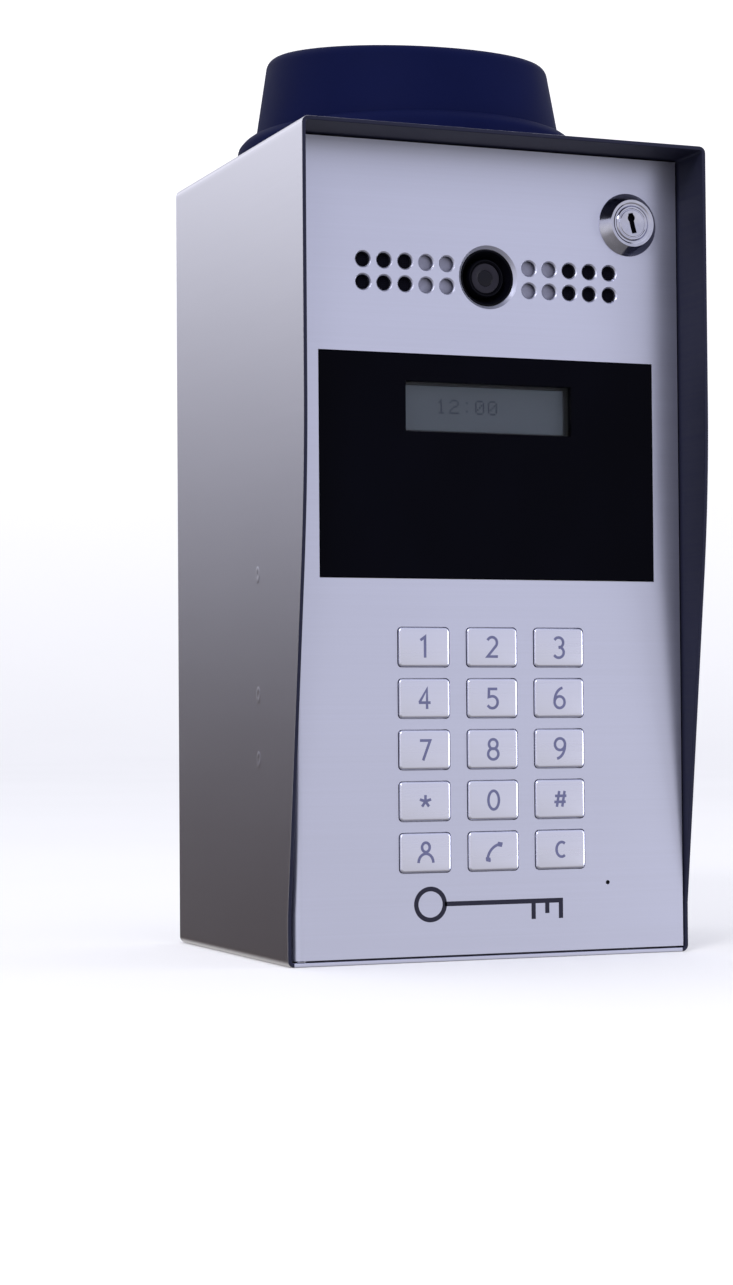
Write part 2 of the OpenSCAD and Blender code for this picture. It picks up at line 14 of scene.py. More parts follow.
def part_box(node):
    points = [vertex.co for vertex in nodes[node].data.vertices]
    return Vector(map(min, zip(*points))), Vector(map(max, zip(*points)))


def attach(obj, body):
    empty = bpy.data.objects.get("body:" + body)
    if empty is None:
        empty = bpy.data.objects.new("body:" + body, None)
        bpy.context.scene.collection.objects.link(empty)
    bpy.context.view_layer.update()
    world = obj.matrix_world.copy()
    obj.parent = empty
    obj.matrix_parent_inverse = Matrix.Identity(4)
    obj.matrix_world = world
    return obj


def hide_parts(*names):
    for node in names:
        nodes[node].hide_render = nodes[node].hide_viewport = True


MM = 0.001
RING_POINTS = 24
MIX_A, MIX_B, MIX_RESULT = 6, 7, 2
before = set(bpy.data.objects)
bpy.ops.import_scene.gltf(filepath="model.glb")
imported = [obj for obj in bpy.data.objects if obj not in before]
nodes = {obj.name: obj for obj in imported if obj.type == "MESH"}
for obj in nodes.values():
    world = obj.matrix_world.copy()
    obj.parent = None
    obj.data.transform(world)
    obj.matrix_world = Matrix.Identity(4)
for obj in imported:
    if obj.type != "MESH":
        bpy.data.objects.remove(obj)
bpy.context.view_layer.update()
scene = bpy.context.scene

shell_lo, shell_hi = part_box("housing_shell")
door_lo, door_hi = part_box("door_panel")
face_y = door_lo.y
KEYS = [*"1234567890", "star", "hash", "visitor", "call", "clear"]


# ---- places

def middle(node):
    lo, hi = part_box(node)
    return (lo + hi) / 2


def spokes(steps):
    """Angles of points spaced evenly round a circle."""
    return [2 * math.pi * k / steps for k in range(steps)]


# ---- materials

def new_material(name):
    """A new node material, with its tree and its shader."""
    made = bpy.data.materials.new(name)
    made.use_nodes = True
    return made, made.node_tree, made.node_tree.nodes["Principled BSDF"]


def link(tree, start, end):
    tree.links.new(start, end)


def split_axes(tree, kind):
    """Outputs X, Y and Z of one kind of texture coordinates."""
    coords = tree.nodes.new("ShaderNodeTexCoord")
    parts = tree.nodes.new("ShaderNodeSeparateXYZ")
    link(tree, coords.outputs[kind], parts.inputs["Vector"])
    return parts.outputs


def multiplied(tree, first, second):
    node = tree.nodes.new("ShaderNodeMath")
    node.operation = "MULTIPLY"
    link(tree, first, node.inputs[0])
    link(tree, second, node.inputs[1])
    return node.outputs[0]


def scaled(colour, share):
    """The colour times a share, and no brighter than white."""
    return [min(1, c * share) for c in colour]


def ramp_between(tree, source, stops):
    """Colour ramp from source through (position, colour) stops."""
    node = tree.nodes.new("ShaderNodeValToRGB")
    elements = node.color_ramp.elements
    while len(elements) < len(stops):
        elements.new(0.5)
    for element, (position, colour) in zip(elements, stops):
        element.position = position
        element.color = (*colour, 1)
    link(tree, source, node.inputs["Fac"])
    return node.outputs["Color"]


def stretched_noise(tree, scale, detail=3.0, seed=0.0):
    """Noise over the object's own coordinates. scale is one number or one for each axis."""
    coords = tree.nodes.new("ShaderNodeTexCoord")
    mapping = tree.nodes.new("ShaderNodeMapping")
    mapping.inputs["Scale"].default_value = scale if isinstance(scale, tuple) else (scale,) * 3
    mapping.inputs["Location"].default_value = (seed, seed, seed)
    noise = tree.nodes.new("ShaderNodeTexNoise")
    noise.inputs["Scale"].default_value = 1.0
    noise.inputs["Detail"].default_value = detail
    link(tree, coords.outputs["Object"], mapping.inputs["Vector"])
    link(tree, mapping.outputs["Vector"], noise.inputs["Vector"])
    return noise.outputs["Fac"]


def ranged(tree, source, low, high, from_low=0.3, from_high=0.7):
    node = tree.nodes.new("ShaderNodeMapRange")
    node.inputs["From Min"].default_value = from_low
    node.inputs["From Max"].default_value = from_high
    node.inputs["To Min"].default_value = low
    node.inputs["To Max"].default_value = high
    link(tree, source, node.inputs["Value"])
    return node.outputs["Result"]


def bumped(tree, height, distance):
    node = tree.nodes.new("ShaderNodeBump")
    node.inputs["Distance"].default_value = distance
    link(tree, height, node.inputs["Height"])
    return node.outputs["Normal"]


def drift(tree, shader, source, low, high, colour, shade, roughness, rough_shade):
    """Lets the colour and the roughness follow a noise, the colour between low and high."""
    stops = [(low, scaled(colour, 1 - shade)), (high, scaled(colour, 1 + shade))]
    link(tree, ramp_between(tree, source, stops), shader.inputs["Base Color"])
    link(tree, ranged(tree, source, roughness - rough_shade, roughness + rough_shade),
         shader.inputs["Roughness"])


def material(name, colour, roughness, scale, metallic=0.0, shade=0.08, rough_shade=0.06,
             bump=0.0, fine=None, coat=0.0, specular=0.5):
    """Surface whose colour and roughness drift with broad noise, with a finer bump on top."""
    made, tree, shader = new_material(name)
    shader.inputs["Metallic"].default_value = metallic
    shader.inputs["Coat Weight"].default_value = coat
    shader.inputs["Coat Roughness"].default_value = 0.08
    shader.inputs["Specular IOR Level"].default_value = specular
    noise = stretched_noise(tree, scale)
    drift(tree, shader, noise, 0.3, 0.7, colour, shade, roughness, rough_shade)
    if bump:
        grain = stretched_noise(tree, fine or scale, detail=2.0, seed=3.7)
        link(tree, bumped(tree, grain, bump), shader.inputs["Normal"])
    return made


def brushed(name, colour, roughness, across=1500, bump=0.000004, shade=0.02, anisotropic=0.6,
            metallic=1.0, rough_shade=0.03):
    """Steel with a horizontal grain: fine lines in the colour, the roughness and the bump.

    across is how many lines a metre holds. Broad clouds drift through the lines.
    """
    along, quarter_turn, cloud_share = 9, 0.25, 0.45
    made, tree, shader = new_material(name)
    shader.inputs["Metallic"].default_value = metallic
    shader.inputs["Anisotropic"].default_value = anisotropic
    shader.inputs["Anisotropic Rotation"].default_value = quarter_turn
    lines = stretched_noise(tree, (along, along, across), detail=4.0)
    clouds = stretched_noise(tree, (14, 14, 30), detail=3.0, seed=8.1)
    both = tree.nodes.new("ShaderNodeMath")
    both.operation = "MULTIPLY_ADD"
    link(tree, clouds, both.inputs[0])
    both.inputs[1].default_value = cloud_share
    weight = tree.nodes.new("ShaderNodeMath")
    weight.operation = "MULTIPLY"
    link(tree, lines, weight.inputs[0])
    weight.inputs[1].default_value = 1 - cloud_share
    link(tree, weight.outputs[0], both.inputs[2])
    drift(tree, shader, both.outputs[0], 0.35, 0.65, colour, shade, roughness, rough_shade)
    link(tree, bumped(tree, lines, bump), shader.inputs["Normal"])
    return made


def woven(name, colour, pitch):
    """Fine black speaker cloth: two crossed waves, a thread every pitch, give the weave."""
    waves_per_scale = 0.314
    made, tree, shader = new_material(name)
    shader.inputs["Roughness"].default_value = 0.85
    shader.inputs["Specular IOR Level"].default_value = 0.08
    coords = tree.nodes.new("ShaderNodeTexCoord")
    heights = []
    for direction in ("X", "Z"):
        wave = tree.nodes.new("ShaderNodeTexWave")
        wave.bands_direction = direction
        wave.inputs["Scale"].default_value = waves_per_scale / pitch
        link(tree, coords.outputs["Object"], wave.inputs["Vector"])
        heights.append(wave.outputs["Fac"])
    threads = multiplied(tree, *heights)
    link(tree, ramp_between(tree, threads, [(0.0, scaled(colour, 0.3)), (0.6, colour)]),
         shader.inputs["Base Color"])
    link(tree, bumped(tree, threads, 0.0002), shader.inputs["Normal"])
    return made


def circuit(name, colour, copper):
    """Solder mask with copper tracks showing through in a fine angular pattern."""
    made, tree, shader = new_material(name)
    shader.inputs["Coat Weight"].default_value = 0.4
    coords = tree.nodes.new("ShaderNodeTexCoord")
    cells = tree.nodes.new("ShaderNodeTexVoronoi")
    cells.distance = "MANHATTAN"
    cells.inputs["Scale"].default_value = 230
    link(tree, coords.outputs["Object"], cells.inputs["Vector"])
    tracks = cells.outputs["Distance"]
    link(tree, ramp_between(tree, tracks, [(0.18, copper), (0.24, colour)]),
         shader.inputs["Base Color"])
    link(tree, ranged(tree, tracks, 0.25, 0.42, 0.1, 0.6), shader.inputs["Roughness"])
    link(tree, bumped(tree, tracks, 0.00008), shader.inputs["Normal"])
    return made


def clear_glass(name, tint):
    """See-through pane with faint smears in its roughness."""
    roughness, smear = 0.02, 0.03
    made, tree, shader = new_material(name)
    shader.inputs["Base Color"].default_value = (*tint, 1)
    shader.inputs["Transmission Weight"].default_value = 1.0
    shader.inputs["IOR"].default_value = 1.12
    smears = stretched_noise(tree, (40, 40, 15), detail=2.0)
    link(tree, ranged(tree, smears, roughness, roughness + smear), shader.inputs["Roughness"])
    return made


def painted_glow(name, colour, strength):
    """Display background with painted light: a dim even emission, a little brighter in patches, stands in
    for the light the display reflects.
    """
    made = material(name, colour, roughness=0.35, shade=0.05, scale=(25, 25, 60))
    tree = made.node_tree
    shader = tree.nodes["Principled BSDF"]
    shader.inputs["Emission Strength"].default_value = strength
    glow = stretched_noise(tree, (18, 18, 40), detail=1.0, seed=5.0)
    link(tree, ramp_between(tree, glow, [(0.3, scaled(colour, 0.92)), (0.7, colour)]),
         shader.inputs["Emission Color"])
    return made


door_steel = brushed("door_steel", (0.562, 0.582, 0.752), roughness=0.36, anisotropic=0.35,
                     metallic=0.88)
key_steel = brushed("key_steel", (0.67, 0.685, 0.84), roughness=0.29, across=1100, bump=0.000002)
housing_steel = brushed("housing_steel", (0.62, 0.62, 0.69), roughness=0.27, across=700,
                        bump=0.00000015, shade=0.012, anisotropic=0.3, rough_shade=0.004)
# Partly raw cut steel and partly painted shade: the darker colour stands in for shade on the walls of the
# door's holes.
cut_steel_and_shade = material("cut_steel_and_shade", (0.11, 0.11, 0.15), metallic=0.8, roughness=0.45, scale=(300, 900, 300))
# Painted shade: a near-black colour on the hood's inside and front lip stands in for the shade under the
# hood.
hood_painted_shade = material("hood_painted_shade", (0.018, 0.0195, 0.043), roughness=0.5, scale=(9, 9, 900),
                     bump=0.000006, specular=0.10)
# Painted shade: the bracket seen through the door's grille holes is coloured darker than bare steel, for
# the shade behind the door.
bracket_steel_painted_shade = material("bracket_steel_painted_shade", (0.25, 0.255, 0.35), metallic=1.0, roughness=0.48, shade=0.2,
                         scale=300, bump=0.00004)
hardware_steel = material("hardware_steel", (0.62, 0.62, 0.63), metallic=1.0, roughness=0.34, scale=400,
                          bump=0.00002)
chrome = material("chrome", (0.50, 0.51, 0.63), metallic=1.0, roughness=0.12, rough_shade=0.03,
                  scale=260, bump=0.000006, fine=900)
rubber = material("rubber", (0.016, 0.016, 0.018), roughness=0.72, scale=220, bump=0.00005, fine=900)
mat_rubber = material("mat_rubber", (0.09, 0.09, 0.10), roughness=0.66, scale=220, bump=0.00004,
                      fine=900)
board_green = circuit("board_green", (0.006, 0.085, 0.035), (0.05, 0.22, 0.10))
brass = material("brass", (0.62, 0.46, 0.19), metallic=1.0, roughness=0.30, scale=300, bump=0.00001)
gold = material("gold", (0.72, 0.52, 0.20), metallic=1.0, roughness=0.24, scale=300)
terminal_green = material("terminal_green", (0.015, 0.20, 0.075), roughness=0.42, scale=180,
                          bump=0.00003, fine=1200)
black_plastic = material("black_plastic", (0.014, 0.014, 0.016), roughness=0.44, scale=160,
                         bump=0.00003, fine=1500)
white_plastic = material("white_plastic", (0.72, 0.71, 0.68), roughness=0.45, scale=160, bump=0.00003,
                         fine=1500)
magnet_grey = material("magnet_grey", (0.16, 0.16, 0.17), metallic=0.7, roughness=0.42, scale=300,
                       bump=0.00002)
antenna_plastic = material("antenna_plastic", (0.0042, 0.0066, 0.040), roughness=0.5, scale=30,
                           bump=0.00003, fine=1400, specular=0.015)
mesh_cloth = woven("mesh_cloth", (0.0045, 0.0045, 0.013), 0.0007)
window_black = material("window_black", (0.0012, 0.0013, 0.004), roughness=0.07, shade=0.15,
                        rough_shade=0.025, scale=(35, 35, 20), specular=0.03)
window_clear = clear_glass("window_clear", (0.80, 0.83, 0.90))
# Painted light: the display glows dimly though it has no lamp of its own.
lcd_painted_glow = painted_glow("lcd_painted_glow", (0.049, 0.056, 0.066), 0.66)
lcd_ink = material("lcd_ink", (0.022, 0.026, 0.045), roughness=0.4, scale=90)
lens_coating = material("lens_coating", (0.003, 0.003, 0.009), roughness=0.20, rough_shade=0.03,
                        scale=120, coat=0.08, specular=0.15)
camera_black = material("camera_black", (0.0015, 0.0016, 0.0045), roughness=0.55, scale=160,
                        bump=0.00002, fine=1500, specular=0.06)
lens_grey = material("lens_grey", (0.016, 0.015, 0.026), roughness=0.5, scale=160, specular=0.15)
legend_ink = material("legend_ink", (0.12, 0.128, 0.27), roughness=0.5, scale=300)
mark_ink = material("mark_ink", (0.016, 0.016, 0.036), roughness=0.5, scale=300, specular=0.2)
chip_black = material("chip_black", (0.020, 0.020, 0.022), roughness=0.55, scale=260, bump=0.00002,
                      fine=1600)
solder = material("solder", (0.66, 0.66, 0.68), metallic=1.0, roughness=0.36, scale=500, bump=0.00002)
ceramic = material("ceramic", (0.36, 0.27, 0.19), roughness=0.5, scale=500)


# ---- mesh helpers

def add_piece(name, bm, body, finish, replaces=(), smooth=34, bevel=0.0):
    """Turns a bmesh into a piece that rides on a body. finish is a material or a list of them.

    Edges sharper than smooth, in degrees, stay sharp, or are rounded to the width of bevel.
    """
    bmesh.ops.remove_doubles(bm, verts=bm.verts, dist=1e-7)
    bmesh.ops.recalc_face_normals(bm, faces=bm.faces)
    mesh = bpy.data.meshes.new(name)
    bm.to_mesh(mesh)
    bm.free()
    for each in finish if isinstance(finish, list) else [finish]:
        mesh.materials.append(each)
    mesh.shade_smooth()
    piece = bpy.data.objects.new(name, mesh)
    scene.collection.objects.link(piece)
    if bevel:
        rounding = piece.modifiers.new("rounding", "BEVEL")
        rounding.width = bevel
        rounding.segments = 2
        rounding.limit_method = "ANGLE"
        rounding.angle_limit = math.radians(smooth)
        weighted = piece.modifiers.new("normals", "WEIGHTED_NORMAL")
        weighted.keep_sharp = True
    else:
        mesh.set_sharp_from_angle(angle=math.radians(smooth))
    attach(piece, body)
    if replaces:
        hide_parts(*replaces)


def join_rings(bm, rings, steps):
    """Faces between each ring and the next. A ring of one vertex is a point."""
    for first, second in zip(rings, rings[1:]):
        for k in range(steps):
            corners = [first[k % len(first)], first[(k + 1) % len(first)],
                       second[(k + 1) % len(second)], second[k % len(second)]]
            bm.faces.new(list(dict.fromkeys(corners)))


def lathe(bm, profile, centre, axis="Y", steps=64):
    """Turns (radius, along) points, in millimetres, about an axis through centre.

    along runs towards +Y or +Z. The profile is open, and ends at radius 0 are closed to a point.
    """
    rings = []
    for radius, along in profile:
        ring = []
        for a in spokes(steps if radius > 0 else 1):
            u, v = radius * MM * math.cos(a), radius * MM * math.sin(a)
            offset = (u, along * MM, v) if axis == "Y" else (u, v, along * MM)
            ring.append(bm.verts.new(centre + Vector(offset)))
        rings.append(ring)
    join_rings(bm, rings, steps)


def closed_lathe(bm, profile, centre, steps=64):
    """As lathe about Y, with the last point joined back to the first."""
    lathe(bm, [*profile, profile[0]], centre, steps=steps)


def block(bm, low, high):
    """Box between two corners."""
    made = bmesh.ops.create_cube(bm, size=1)
    size = Vector(high) - Vector(low)
    centre = (Vector(low) + Vector(high)) / 2
    for vert in made["verts"]:
        vert.co = centre + Vector((vert.co.x * size.x, vert.co.y * size.y, vert.co.z * size.z))


def round_outline(width, height, radius):
    """Points of a rectangle with round corners about (0, 0), anticlockwise."""
    corner_steps = 5
    points = []
    for quarter, (sx, sz) in enumerate([(1, 1), (-1, 1), (-1, -1), (1, -1)]):
        cx, cz = sx * (width / 2 - radius), sz * (height / 2 - radius)
        for k in range(corner_steps + 1):
            a = math.pi / 2 * (quarter + k / corner_steps)
            points.append((cx + radius * math.cos(a), cz + radius * math.sin(a)))
    return points


def loop(bm, outline, centre, y):
    """Ring of vertices: an (x, z) outline about centre, at one depth y."""
    return [bm.verts.new((centre.x + x, y, centre.z + z)) for x, z in outline]


def bridge(bm, first, second, index=0):
    """Faces between two rings of as many vertices, in the material of that number."""
    count = len(first)
    for k in range(count):
        after = (k + 1) % count
        face = bm.faces.new([first[k], first[after], second[after], second[k]])
        face.material_index = index


def cap(bm, ring, index=0):
    face = bm.faces.new(ring)
    face.material_index = index


def ribbon(bm, points, width, y, depth, closed=False):
    """Flat solid line of one width through (x, z) points, standing proud of y by depth.

    Its corners reach further out at a sharper bend, up to the reach at least_cosine.
    """
    least_cosine = 0.45
    count = len(points)
    sections = []
    for k, (x, z) in enumerate(points):
        normals = []
        for start, end in ((k - 1, k), (k, k + 1)):
            if closed or (start >= 0 and end < count):
                dx = points[end % count][0] - points[start][0]
                dz = points[end % count][1] - points[start][1]
                length = math.hypot(dx, dz) or 1
                normals.append((-dz / length, dx / length))
        nx, nz = (sum(n[0] for n in normals), sum(n[1] for n in normals))
        length = math.hypot(nx, nz) or 1
        nx, nz = nx / length, nz / length
        reach = width / 2 / max(least_cosine, nx * normals[0][0] + nz * normals[0][1])
        sections.append([bm.verts.new((x + s * nx * reach, y - d, z + s * nz * reach))
                         for s, d in ((1, 0), (1, depth), (-1, depth), (-1, 0))])
    for k in range(count if closed else count - 1):
        bridge(bm, sections[k], sections[(k + 1) % count])
    if not closed:
        cap(bm, sections[0])
        cap(bm, sections[-1][::-1])


def arc(cx, cz, rx, rz, start, end, steps):
    """Points along an elliptical arc, in degrees anticlockwise from +X."""
    angles = [math.radians(start + (end - start) * k / steps) for k in range(steps + 1)]
    return [(cx + rx * math.cos(a), cz + rz * math.sin(a)) for a in angles]


def softened(node, finish, width):
    """Gives a CAD node its material, merges its flat faces and rounds its edges."""
    piece = nodes[node]
    piece.data.materials.clear()
    piece.data.materials.append(finish)
    if "custom_normal" in piece.data.attributes:
        piece.data.attributes.remove(piece.data.attributes["custom_normal"])
    piece.data.shade_smooth()
    weld = piece.modifiers.new("weld", "WELD")
    weld.merge_threshold = 2e-6
    flat = piece.modifiers.new("flat", "DECIMATE")
    flat.decimate_type = "DISSOLVE"
    flat.angle_limit = math.radians(1.2)
    rounding = piece.modifiers.new("rounding", "BEVEL")
    rounding.width = width * MM
    rounding.segments = 2
    rounding.limit_method = "ANGLE"
    rounding.angle_limit = math.radians(38)
    weighted = piece.modifiers.new("normals", "WEIGHTED_NORMAL")
    weighted.weight = 60


def darken_cut_edges_as_shade(piece):
    """The walls of the door's openings are raw cut steel, coloured darker than the brushed face partly for
    the cut and partly as painted shade inside the holes.
    """
    piece.data.materials.append(cut_steel_and_shade)
    piece.modifiers["rounding"].material = 0
    side_rim, end_rim, sheet_back, facing_front = 5 * MM, 3 * MM, face_y + 2.05 * MM, 0.6
    for face in piece.data.polygons:
        where = face.center
        across = abs(face.normal.y) < facing_front and where.y < sheet_back
        if across and abs(where.x) < door_hi.x - side_rim:
            if door_lo.z + end_rim < where.z < door_hi.z - end_rim:
                face.material_index = 1


# ---- housing

def lip_y(z):
    """Depth of the side walls' front edge at height z: hood, large arc, taper, then flush."""
    hood = face_y - shell_lo.y
    taper_low, corner_z, radius = 18 * MM, 172 * MM, 500 * MM
    turn = math.atan(hood / (corner_z - taper_low))
    arc_z = corner_z + radius * math.tan(turn / 2)
    if z >= arc_z:
        return shell_lo.y
    if z >= arc_z - radius * math.sin(turn):
        return shell_lo.y + radius - math.sqrt(radius ** 2 - (arc_z - z) ** 2)
    return min(face_y, face_y - (z - taper_low) * math.tan(turn))


def wall_outline(inset, radius):
    """Outline of the folded sheet, with extra points up both sides for the curved lip."""
    steps, corner_steps, margin = 60, 6, 4 * MM
    x0, x1 = shell_lo.x + inset, shell_hi.x - inset
    z0, z1 = shell_lo.z + inset, shell_hi.z - inset
    rise = (shell_hi.z - shell_lo.z - 2 * margin) / steps
    heights = [shell_lo.z + margin + rise * k for k in range(steps + 1)]
    points = [(x1, z) for z in heights]
    corners = [(x1 - radius, z1 - radius, 0), (x0 + radius, z1 - radius, 90),
               (x0 + radius, z0 + radius, 180), (x1 - radius, z0 + radius, 270)]
    for number, (cx, cz, start) in enumerate(corners):
        points += arc(cx, cz, radius, radius, start, start + 90, corner_steps)
        if number == 1:
            points += [(x0, z) for z in reversed(heights)]
    return points


def build_housing():
    """Folded sheet tube with the hood's lip in front, plus the flange that carries the back plate.

    Materials: bare steel, painted shade inside the hood and on its lip, and bare steel again on the low
    front edge.
    """
    sheet, dark_behind, flush_half_w, flush_z = 1.5 * MM, 6 * MM, 77.5 * MM, 1.6 * MM
    flange_behind, flange_w, flange_corner = 3.6 * MM, 10 * MM, 1 * MM
    outer = wall_outline(0, 2.5 * MM)
    inner = wall_outline(sheet, 1.0 * MM)
    bm = bmesh.new()
    outer_front = [bm.verts.new((x, lip_y(z), z)) for x, z in outer]
    inner_front = [bm.verts.new((x, lip_y(z), z)) for x, z in inner]
    inner_door = [bm.verts.new((x, face_y + dark_behind, z)) for x, z in inner]
    outer_back = [bm.verts.new((x, shell_hi.y, z)) for x, z in outer]
    inner_back = [bm.verts.new((x, shell_hi.y, z)) for x, z in inner]
    bridge(bm, outer_front, outer_back, 0)
    # Index 1 colours the hood's front lip and inside with painted shade.
    bridge(bm, inner_front, outer_front, 1)
    bridge(bm, inner_door, inner_front, 1)
    for face in bm.faces:
        centre = face.calc_center_median()
        if face.material_index == 1 and centre.z < flush_z and abs(centre.x) < flush_half_w:
            face.material_index = 2
    bridge(bm, inner_back, inner_door, 0)
    bridge(bm, outer_back, inner_back, 0)
    flange_y = shell_hi.y - flange_behind
    width, height = shell_hi.x - shell_lo.x - 2 * sheet, shell_hi.z - shell_lo.z - 2 * sheet
    centre = middle("housing_shell")
    wide = round_outline(width, height, flange_corner)
    narrow = round_outline(width - 2 * flange_w, height - 2 * flange_w, flange_corner)
    rings = [loop(bm, outline, centre, y) for outline, y in
             ((wide, flange_y), (wide, flange_y + sheet), (narrow, flange_y + sheet),
              (narrow, flange_y))]
    for first, second in zip(rings, [*rings[1:], rings[0]]):
        bridge(bm, first, second)
    add_piece("housing_sheet", bm, "housing", [housing_steel, hood_painted_shade, door_steel],
              ["housing_shell"], smooth=50, bevel=0.3 * MM)


def build_weld_marks():
    """Faint oval marks on the left wall, where something inside is spot welded to it.

    The profile is (radius, height) points in millimetres. A height of 0 stands just proud.
    """
    profile = ((2.2, 0.0), (1.7, 0.09), (1.1, 0.08), (0.6, 0.0), (0.0, -0.02))
    behind, proud, tallness = 29.8 * MM, 0.01, 1.5
    for number, z in enumerate((141, 97, 73.4)):
        bm = bmesh.new()
        centre = Vector((shell_lo.x, face_y + behind, z * MM))
        rings = []
        for radius, height in profile:
            ring = []
            for a in spokes(RING_POINTS if radius else 1):
                offset = (-proud - height, radius * math.cos(a), tallness * radius * math.sin(a))
                ring.append(bm.verts.new(centre + Vector(offset) * MM))
            rings.append(ring)
        join_rings(bm, rings, RING_POINTS)
        add_piece(f"weld_mark_{number + 1}", bm, "housing", housing_steel)


def build_antenna():
    """Round base flange with a rounded rim, its stud through the roof, and the dome on top."""
    base = middle("antenna_base")
    centre = Vector((base.x, base.y, shell_hi.z))
    bm = bmesh.new()
    flange = [(0, 0.05), (63.6, 0.05), (64.7, 0.3), (65, 0.9), (65, 4.6), (64.7, 5.6), (64, 6.5),
              (63.1, 7.5), (61.9, 8.4), (60.6, 8.9), (59, 9), (0, 9)]
    lathe(bm, flange, centre, "Z", 128)
    lathe(bm, [(0, -18), (7.2, -18), (8, -17.2), (8, 0.5), (0, 0.5)], centre, "Z", 40)
    add_piece("antenna_flange", bm, "housing", antenna_plastic,
              ["antenna_base"], smooth=40)
    add_dome(centre)


def add_dome(centre):
    """Hollow dome with a rolled top edge and a slightly crowned top that rises to the back.

    Sizes are in millimetres, heights from the roof. shrink is a surface's depth under the outside.
    """
    low_r, edge_r, ring_r, top, tilt, foot, steps = 58.3, 5.0, 49.0, 40.0, 0.108, 9.05, 128
    skin, crown, edge_steps = 2.5, 0.9, 8

    def outline(shrink):
        points = [(low_r - shrink, foot)]
        slope = math.atan2(low_r - ring_r - edge_r, top - edge_r - foot)
        bend = edge_r - shrink
        for k in range(edge_steps + 1):
            a = slope + (math.pi / 2 - slope) * k / edge_steps
            points.append((ring_r + bend * math.cos(a), top - edge_r + bend * math.sin(a)))
        for radius in (38, 28, 18, 9, 0):
            points.append((radius, top - shrink + crown * (1 - (radius / ring_r) ** 2)))
        return points

    def shell_point(radius, height, a):
        x, y = radius * math.cos(a), radius * math.sin(a)
        rise = max(0.0, (height - foot) / (top - edge_r - foot))
        lifted = height + tilt * y * min(1.0, rise) * min(1.0, ring_r / max(radius, ring_r))
        return bm.verts.new(centre + Vector((x, y, lifted)) * MM)

    bm = bmesh.new()
    ends = []
    for shrink in (0.0, skin):
        rings = []
        for radius, height in outline(shrink):
            angles = spokes(steps if radius else 1)
            rings.append([shell_point(radius, height, a) for a in angles])
        join_rings(bm, rings, steps)
        ends.append(rings[0])
    bridge(bm, ends[0], ends[1])
    add_piece("antenna_dome", bm, "housing", antenna_plastic,
              ["antenna_radome"], smooth=50)


# ---- keys

def legend_lines(label):
    """Strokes of a key's legend, as (x, z) points in millimetres about the key's centre.

    A stroke of RING_POINTS points is a closed ring, and every other stroke is open.
    """
    def ring(cx, cz, rx, rz):
        return arc(cx, cz, rx, rz, 0, 345, RING_POINTS - 1)

    six = [ring(0, -1.55, 2.05, 2.15), arc(1.75, -1.4, 3.8, 5.2, 98, 178, 10)]
    return {
        "1": [[(-1.5, 2.5), (0.3, 3.75), (0.3, -3.8)]],
        "2": [arc(-0.1, 1.75, 1.95, 2.0, 155, -35, 12) + [(-1.95, -3.35), (2.2, -3.35)]],
        "3": [arc(-0.2, 1.85, 1.9, 1.9, 150, -90, 12), arc(-0.2, -1.75, 2.1, 2.0, 90, -150, 12)],
        "4": [[(0.9, -3.8), (0.9, 3.4), (-2.1, -1.5)], [(-2.3, -1.5), (2.3, -1.5)]],
        "5": [[(1.8, 3.4), (-1.5, 3.4), (-1.6, 0.45)]
              + arc(-0.2, -1.45, 2.15, 2.2, 112, -150, 14)],
        "6": six,
        "7": [[(-2.0, 3.4), (2.0, 3.4), (-0.8, -3.8)]],
        "8": [ring(0, 1.85, 1.7, 1.75), ring(0, -1.75, 2.05, 2.0)],
        "9": [[(-x, -z) for x, z in line] for line in six],
        "star": [[(0, 0), (2.3 * math.sin(a), 2.3 * math.cos(a))] for a in spokes(5)],
        "0": [ring(0, 0, 2.1, 3.4)],
        "hash": [[(-1.5, -2.9), (-0.5, 2.9)], [(0.7, -2.9), (1.7, 2.9)],
                 [(-2.2, 1.1), (2.4, 1.1)], [(-2.5, -1.1), (2.1, -1.1)]],
        "visitor": [ring(0, 2.0, 1.5, 1.7), arc(0, -3.6, 2.9, 3.3, 180, 0, 16)],
        "call": [arc(3.4, -3.4, 6.0, 6.0, 172, 98, 14), [(1.2, 2.3), (3.2, 1.9)],
                 [(1.5, 2.9), (3.4, 2.6)], [(-3.3, -2.5), (-1.5, -2.9)],
                 [(-3.2, -3.1), (-1.4, -3.5)]],
        "clear": [arc(0.3, 0, 2.1, 2.7, 52, 308, 18)],
    }[label]


